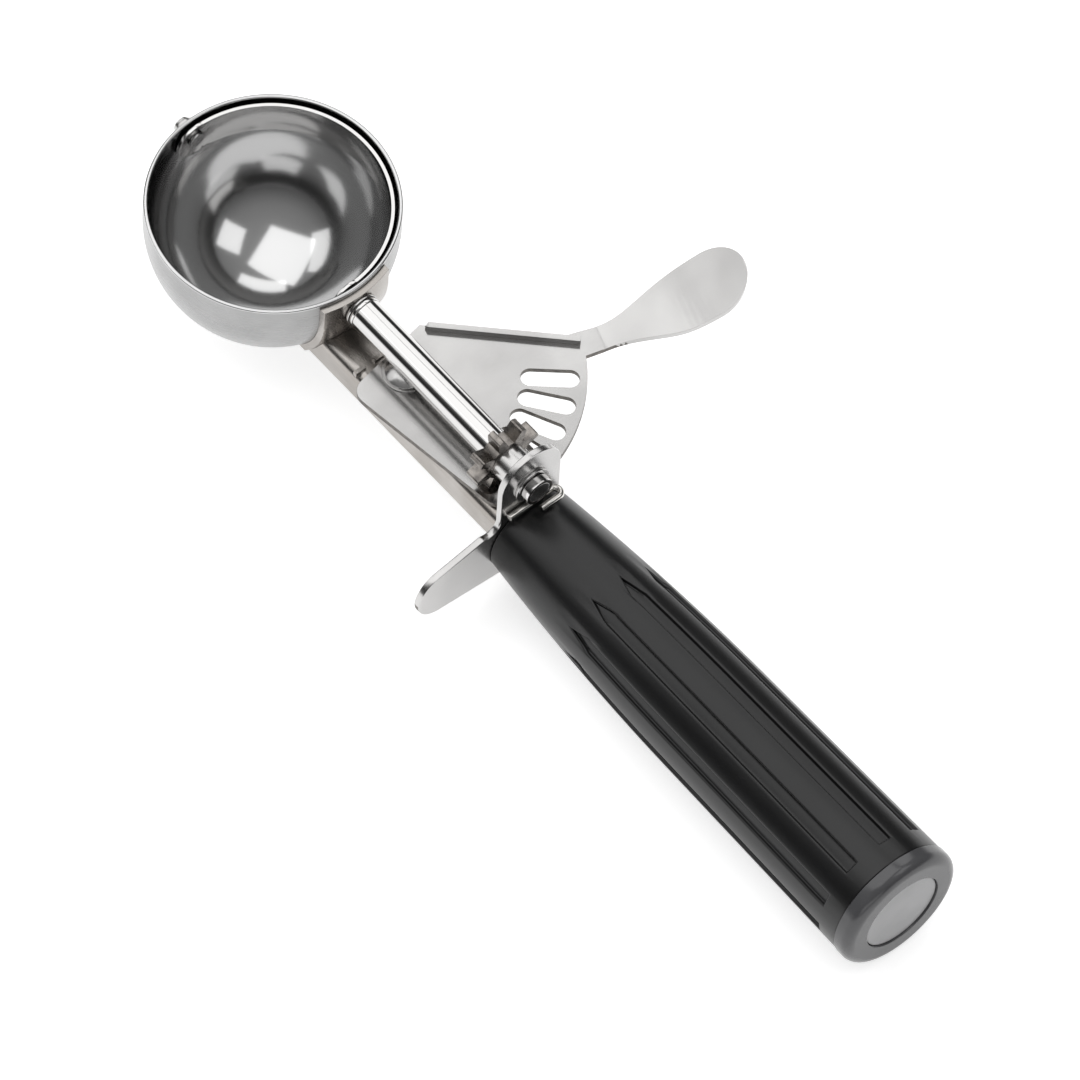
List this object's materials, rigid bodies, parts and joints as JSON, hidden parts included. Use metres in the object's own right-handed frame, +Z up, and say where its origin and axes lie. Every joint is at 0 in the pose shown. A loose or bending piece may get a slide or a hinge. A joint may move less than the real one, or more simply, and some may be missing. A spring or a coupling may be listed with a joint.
{
  "type": "lever ice cream scoop",
  "caption": "Lever ice cream scoop: round bowl with a sweeping scraper blade, geared thumb lever, finger guard and fluted grip.",
  "frame": {"origin": "centre of the bowl's rim, in the plane of its mouth", "axes": "+X back along the handle to its butt, +Y to the thumb lever's side, +Z up out of the bowl's mouth"},
  "size_m": [0.2195, 0.0916, 0.0405],
  "materials": {
    "satin_steel": "satin stainless sheet, spun",
    "bright_steel": "bright polished stainless sheet",
    "mirror_steel": "mirror polished stainless",
    "plated_pinion": "stamped, nickel plated",
    "spring_wire": "drawn stainless wire",
    "dark_bush": "dark bush",
    "grip_plastic": "moulded, fine matte",
    "cap_plastic": "glossy moulded",
    "disc_plastic": "satin moulded"
  },
  "bodies": {
    "frame": {"bowl": "satin_steel", "bowl_saddle": "bright_steel", "near_bush": "bright_steel", "far_bush": "bright_steel", "stem_channel": "bright_steel", "pivot_rivet": "bright_steel", "pivot_washer": "bright_steel", "return_spring": "spring_wire", "guard_plate": "bright_steel", "ear_bush": "bright_steel", "wire_clip": "spring_wire", "tang_bar": "bright_steel", "tang_rivets": "bright_steel", "handle_grip": "grip_plastic", "end_cap": "cap_plastic", "cap_disc": "disc_plastic"},
    "blade": {"scraper_blade": "mirror_steel", "far_pin": "bright_steel", "blade_shaft": "bright_steel", "shaft_sleeve": "mirror_steel", "sleeve_collar": "mirror_steel", "pinion": "plated_pinion", "pinion_hub": "bright_steel", "shaft_end_nut": "dark_bush"},
    "lever": {"lever_plate": "bright_steel", "hub_washer": "bright_steel"}
  },
  "joints": [
    {"name": "lever_pivot", "type": "hinge", "parent": "frame", "child": "lever", "pos_m": [0.041, 0, -0.0121], "axis": [0, 0, -1], "range_deg": [0, 45], "stiffness_Nm_per_rad": 0.4, "springref_deg": -14.32, "deforming": ["return_spring"]},
    {"name": "blade_spin", "type": "hinge", "parent": "frame", "child": "blade", "pos_m": [0, 0, -0.0053], "axis": [-1, 0, 0], "range_deg": [0, 180]}
  ],
  "couplings": [
    {"joint": "blade_spin", "follows": "lever_pivot", "ratio": 4}
  ]
}
